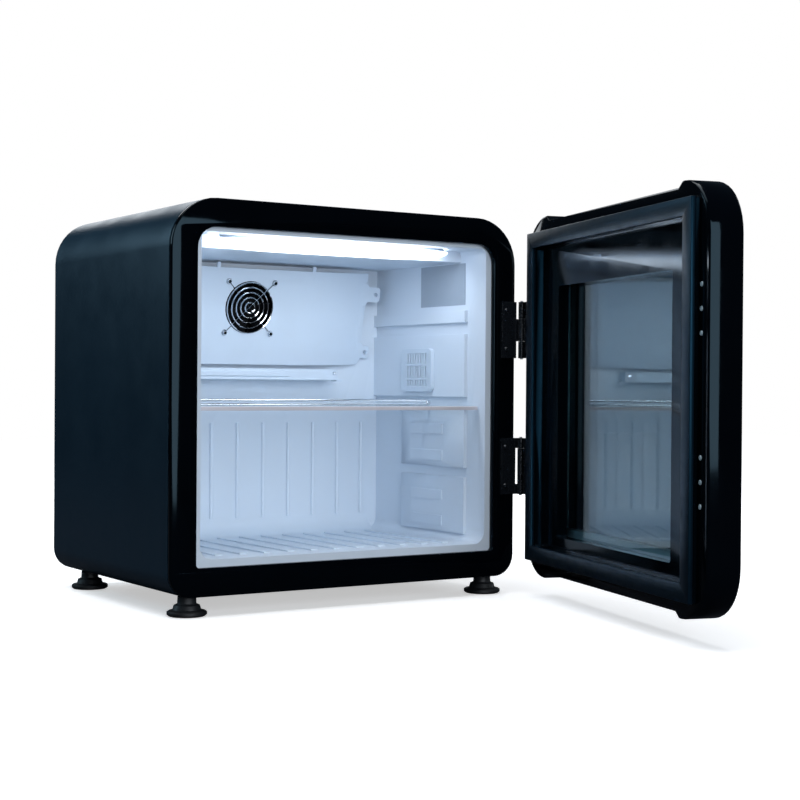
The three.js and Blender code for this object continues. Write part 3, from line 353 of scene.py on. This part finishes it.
# ---------------------------------------------------------------- door
refine("door_frame", GLOSS, 0.5)
refine("door_inner_frame", INNER_BLACK, 0.8, 3)
refine("door_gasket", GASKET, 0.3)
refine("door_glass_inner", PANE_CLEAR, 0.3)
refine("door_glass_outer", PANE_DARK, 0.3)
dress("glass_spacer", SPACER)
for name in [n for n in NODES if n.startswith("door_plug_")]:
    refine(name, PLUG, 0.2)
for name in [n for n in NODES if n.endswith("_leaf")]:
    refine(name, STEEL, 0.4)
for name in ("hinge_upper_pin", "hinge_lower_pin"):
    refine(name, ALU, 0.3)


# ---------------------------------------------------------------- camera, light and floor
SCENE = bpy.context.scene
SCENE.view_settings.view_transform = "Standard"
CAMERA_AT = Vector((-1.0826, -1.6597, 0.2776))
CAMERA_YAW = 0.578
CAMERA_PITCH = -0.008
CAMERA_ROLL = 0.007
forward = Vector((
    math.sin(CAMERA_YAW) * math.cos(CAMERA_PITCH),
    math.cos(CAMERA_YAW) * math.cos(CAMERA_PITCH),
    math.sin(CAMERA_PITCH),
))
level = Vector((math.cos(CAMERA_YAW), -math.sin(CAMERA_YAW), 0))
upward = level.cross(forward)
right = math.cos(CAMERA_ROLL) * level + math.sin(CAMERA_ROLL) * upward
up = -math.sin(CAMERA_ROLL) * level + math.cos(CAMERA_ROLL) * upward
camera_data = bpy.data.cameras.new("camera")
camera_data.lens = 71.88
camera_data.clip_start = 0.05
camera = bpy.data.objects.new("camera", camera_data)
SCENE.collection.objects.link(camera)
camera.matrix_world = Matrix.Translation(CAMERA_AT) @ Matrix((right, up, -forward)).transposed().to_4x4()
SCENE.camera = camera


def area_light(name, place, target, size, power, colour=(1, 1, 1)):
    data = bpy.data.lights.new(name, "AREA")
    data.shape = "RECTANGLE"
    data.size, data.size_y = size
    data.energy = power
    data.color = colour
    lamp = bpy.data.objects.new(name, data)
    SCENE.collection.objects.link(lamp)
    lamp.location = place
    direction = Vector(target) - Vector(place)
    lamp.rotation_euler = direction.to_track_quat("-Z", "Y").to_euler()
    return lamp


area_light("light_above", (-0.3, 0.2, 2.4), (0, 0, 0.3), (2.6, 2.2), 60, (0.97, 0.98, 1.0))
area_light("light_left", (-1.9, 2.0, 1.35), (-0.2, 0.2, 0.4), (1.2, 1.0), 15, (0.55, 0.82, 1.0))
area_light("light_right", (2.4, -0.6, 1.4), (0.2, -0.1, 0.3), (1.0, 1.6), 12, (0.9, 0.95, 1.0))
area_light("light_front", (-0.5, -2.7, 0.7), (0, 0.2, 0.25), (1.5, 1.5), 46, (0.86, 0.93, 1.0))
area_light("light_back", (1.0, 2.8, 1.2), (0, 0.4, 0.25), (1.6, 1.4), 14, (0.92, 0.96, 1.0))
lens_low, lens_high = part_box("lamp_diffuser")
lens_x, lens_y = (lens_low.x + lens_high.x) / 2, (lens_low.y + lens_high.y) / 2
strip = area_light("lamp_strip", (lens_x, lens_y, lens_low.z - 0.002), (lens_x, lens_y + 0.12, 0.2),
                   (0.34, 0.018), 0.24, (0.86, 0.93, 1.0))
strip.visible_camera = False

world = bpy.data.worlds.new("studio")
world.use_nodes = True
SCENE.world = world
tree = world.node_tree
background = tree.nodes["Background"]
path = tree.nodes.new("ShaderNodeLightPath")
blend = tree.nodes.new("ShaderNodeMixRGB")
blend.inputs["Color1"].default_value = (0.02, 0.03, 0.04, 1)
blend.inputs["Color2"].default_value = (1.0, 1.0, 1.0, 1)
tree.links.new(path.outputs["Is Camera Ray"], blend.inputs["Fac"])
tree.links.new(blend.outputs["Color"], background.inputs["Color"])

floor_mesh = bpy.data.meshes.new("floor")
bm = bmesh.new()
bmesh.ops.create_grid(bm, x_segments=2, y_segments=2, size=6)
bm.to_mesh(floor_mesh)
bm.free()
floor = bpy.data.objects.new("floor", floor_mesh)
SCENE.collection.objects.link(floor)
floor.location = (0, 0, CAD_BOX[0][2] - 0.0005)
floor_material = surface("pale_floor", (0.93, 0.93, 0.94), (0.6, 0.7), 0.01, 2, 5, 60, 0.0001)
tree = floor_material.node_tree
lit = tree.nodes["Principled BSDF"]
lit.inputs["Emission Color"].default_value = (1, 1, 1, 1)
coords = tree.nodes.new("ShaderNodeTexCoord")
reach = tree.nodes.new("ShaderNodeVectorMath")
reach.operation = "LENGTH"
fade = tree.nodes.new("ShaderNodeMapRange")
fade.inputs["From Min"].default_value = 0.4
fade.inputs["From Max"].default_value = 1.6
fade.inputs["To Min"].default_value = 0.5
fade.inputs["To Max"].default_value = 1.0
tree.links.new(coords.outputs["Object"], reach.inputs[0])
tree.links.new(reach.outputs["Value"], fade.inputs["Value"])
tree.links.new(fade.outputs["Result"], lit.inputs["Emission Strength"])
dim = tree.nodes.new("ShaderNodeBsdfDiffuse")
dim.inputs["Color"].default_value = (0.05, 0.055, 0.065, 1)
path = tree.nodes.new("ShaderNodeLightPath")
choose = tree.nodes.new("ShaderNodeMixShader")
tree.links.new(path.outputs["Is Camera Ray"], choose.inputs["Fac"])
tree.links.new(dim.outputs["BSDF"], choose.inputs[1])
tree.links.new(lit.outputs["BSDF"], choose.inputs[2])
tree.links.new(choose.outputs["Shader"], tree.nodes["Material Output"].inputs["Surface"])
floor_mesh.materials.append(floor_material)
